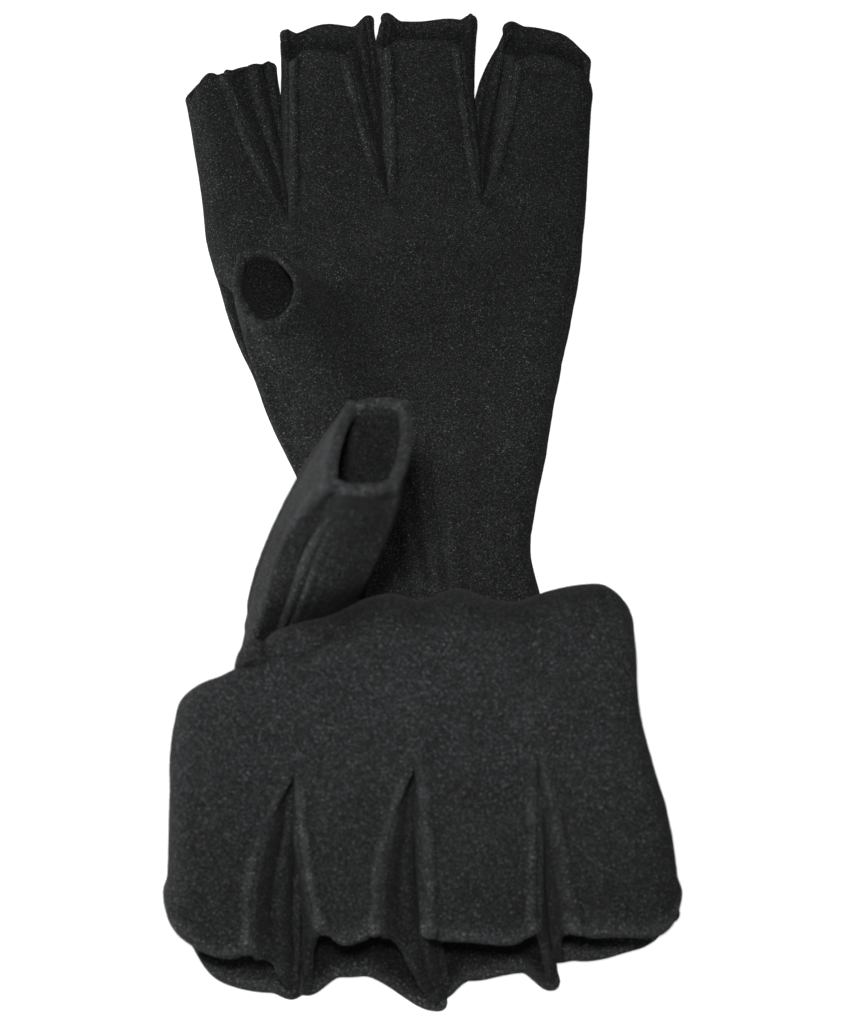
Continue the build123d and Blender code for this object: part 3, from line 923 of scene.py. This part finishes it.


def hand_pieces(glove):
    """Palm, back, the seams down the sides of the hand, and the wrist elastic."""
    name = glove.name
    if glove is RIGHT:
        # each piece runs through the fold, where the CAD has an upper and a lower half
        way = {"bend": ("right_cuff", "right_hand", (0, 0, 8), (0, 0, 22))}
        halves = ("_upper", "_lower")
    else:
        way = {"body": "left_hand"}
        halves = ("",)

    def nodes(stem):
        return [f"{name}_{stem}{half}" for half in halves]

    for layer in ("palm", "back"):
        middle, shade = hand_panel(glove, layer)
        replaced = nodes(layer if glove is RIGHT else f"{layer}_panel")
        make(f"{name}_{layer}_panel", "fleece", middle, replaced, open_end=True,
             inside=lining_side(glove, layer), lining=0.0, shade=shade, **way)
    for side, kind in ((0, "index_side_seam"), (1, "little_side_seam")):
        middle = side_strip(glove, side, CUFF_END + 1, SPLIT, lambda s: hand_sides(glove, s)[side])
        # painted shade on the seams down the sides of the hand
        make(f"{name}_{kind}", "seam_fleece", middle, nodes(kind), thickness=SEAM_THICKNESS, open_end=True,
             shade=-SEAM_GLOOM, **way)
    make(f"{name}_wrist_elastic", "elastic", elastic_band(glove), thickness=ELASTIC_THICKNESS, lumps=0.0,
         nap=0.02, body="right_cuff" if glove is RIGHT else "left_hand")


FINGER_BEND = (CREASE + 1, CREASE + 14)     # s of the stretch over which a finger is meant to bend; passed on, but nothing bends the finger


def finger_pieces(glove, name):
    """Palm side, back side and the two walls or seams of one finger."""
    finger = FINGERS[glove.name][name]
    middle_u = sum(finger.root) / 2
    start, end = (glove.place(middle_u, s, 0.0) for s in FINGER_BEND)
    bend = (f"{glove.name}_hand", f"{glove.name}_{name}", start, end)
    stem = f"{glove.name}_{name}"
    lip = FINGER_LIP[glove.name]
    front = finger_front(glove, finger)
    # painted shade over the far half of the finger's palm side
    shade = -FINGER_GLOOM[glove.name] * smooth(np.linspace(0, 2, len(front)))[:, None]
    make(f"{stem}_palm_side", "fleece", front, bend=bend, open_start=True, lip=lip, shade=shade,
         inside=lining_side(glove, "palm"))
    make(f"{stem}_back_side", "fleece", finger_back(glove, finger), bend=bend, open_start=True, lip=lip,
         inside=lining_side(glove, "back"), lining=BACK_INSIDE_SHADE[glove.name])
    for side, toward in ((0, "thumb_side"), (1, "little_side")):
        if finger.curl[side]:
            edge_end = min(finger.front[2 + side], finger.back[2 + side]) - 1
            middle = side_strip(glove, side, SPLIT, edge_end, lambda s: outer_edge(glove, finger, side, s))
            make(f"{stem}_seam", "seam_fleece", middle, bend=bend, thickness=SEAM_THICKNESS,
                 open_start=True)
        else:
            wall = finger_wall(glove, finger, side)
            make(f"{stem}_fourchette_{toward}", "fourchette_fleece", wall, bend=bend)


def thumb_pieces(glove):
    """The four panels of a thumb."""
    bend = (f"{glove.name}_hand", f"{glove.name}_thumb", *THUMB_BENDS[glove.name])
    for name, panel in THUMB_PANELS[glove.name].items():
        slot = "fourchette_fleece" if "gusset" in name else "fleece"
        # painted shade at the base of the thumb panel with the folds
        creased = BASE_DARKENING if is_creased(glove.name, panel[0]) else 0.0
        make(f"{glove.name}_{name}", slot, thumb_panel(glove.name, *panel), bend=bend, lumps=0.2,
             lip=THUMB_LIP[glove.name], creased=creased)


for glove in (LEFT, RIGHT):
    hand_pieces(glove)
    for finger_name in FINGERS[glove.name]:
        finger_pieces(glove, finger_name)
    thumb_pieces(glove)


# ------------------------------------------------------------------ stage
FLOOR_SIZE = 6.0            # m
WORLD_LIGHT = 0.07          # strength of the light from all round


def add_floor():
    """Floor that the camera sees as pure white but that sends back little light."""
    bpy.ops.mesh.primitive_plane_add(size=FLOOR_SIZE)
    floor = bpy.context.object
    floor.name = "floor"
    nodes = Nodes("floor")
    seen = nodes.add("ShaderNodeLightPath").outputs["Is Camera Ray"]
    nodes.surface({
        "Base Color": (0.4, 0.4, 0.4, 1), "Roughness": 1.0,
        "Emission Color": (1, 1, 1, 1), "Emission Strength": seen,
    })
    floor.data.materials.append(nodes.material)


def add_light(name, place, target, power, size):
    """Square light at place, in mm, aimed at target; its size is in metres."""
    light = bpy.data.lights.new(name, "AREA")
    light.energy, light.size = power, size
    obj = bpy.data.objects.new(name, light)
    bpy.context.scene.collection.objects.link(obj)
    obj.location = Vector(place) * MM
    aim = Vector(target) * MM - obj.location
    obj.rotation_euler = aim.to_track_quat("-Z", "Y").to_euler()
    obj.visible_camera = False


CAMERA_DISTANCE = 350.0
CAMERA_HEIGHT = np.radians(68.0)        # angle above the table
CAMERA_LENS = 32.34
FOCUS_PLACE = (0.0, 60.0, 12.0)         # on the left glove's palm


def add_camera():
    """Camera aimed at the origin, focused on the lower glove."""
    camera = bpy.data.cameras.new("camera")
    camera.sensor_fit = "VERTICAL"
    camera.sensor_height = 24.0
    camera.lens = CAMERA_LENS
    camera.clip_start = 0.01
    obj = bpy.data.objects.new("camera", camera)
    bpy.context.scene.collection.objects.link(obj)
    place = (0.0, -CAMERA_DISTANCE * np.cos(CAMERA_HEIGHT), CAMERA_DISTANCE * np.sin(CAMERA_HEIGHT))
    obj.location = Vector(place) * MM
    obj.rotation_euler = (-obj.location).to_track_quat("-Z", "Y").to_euler()
    bpy.context.scene.camera = obj
    focus = bpy.data.objects.new("focus", None)
    focus.location = Vector(FOCUS_PLACE) * MM
    bpy.context.scene.collection.objects.link(focus)
    camera.dof.use_dof = True
    camera.dof.focus_object = focus
    camera.dof.aperture_fstop = 10.0


def add_world():
    """Dim even light from all round, which the camera itself sees as white."""
    world = bpy.data.worlds.new("world")
    world.use_nodes = True
    tree = world.node_tree
    background = tree.nodes["Background"]
    background.inputs["Color"].default_value = (1, 1, 1, 1)
    seen = tree.nodes.new("ShaderNodeLightPath").outputs["Is Camera Ray"]
    strength = tree.nodes.new("ShaderNodeMapRange")
    strength.inputs["To Min"].default_value = WORLD_LIGHT
    tree.links.new(seen, strength.inputs["Value"])
    tree.links.new(strength.outputs["Result"], background.inputs["Strength"])
    bpy.context.scene.world = world


add_floor()
add_camera()
add_world()
add_light("key", (-16, -72, 330), (-6, -45, 0), 0.77, 0.035)
add_light("side", (-400, -60, 65), (0, -10, 30), 1.5, 0.2)
add_light("front", (-60, -330, 260), (0, -60, 20), 0.1, 0.2)
bpy.context.scene.view_settings.view_transform = "Standard"
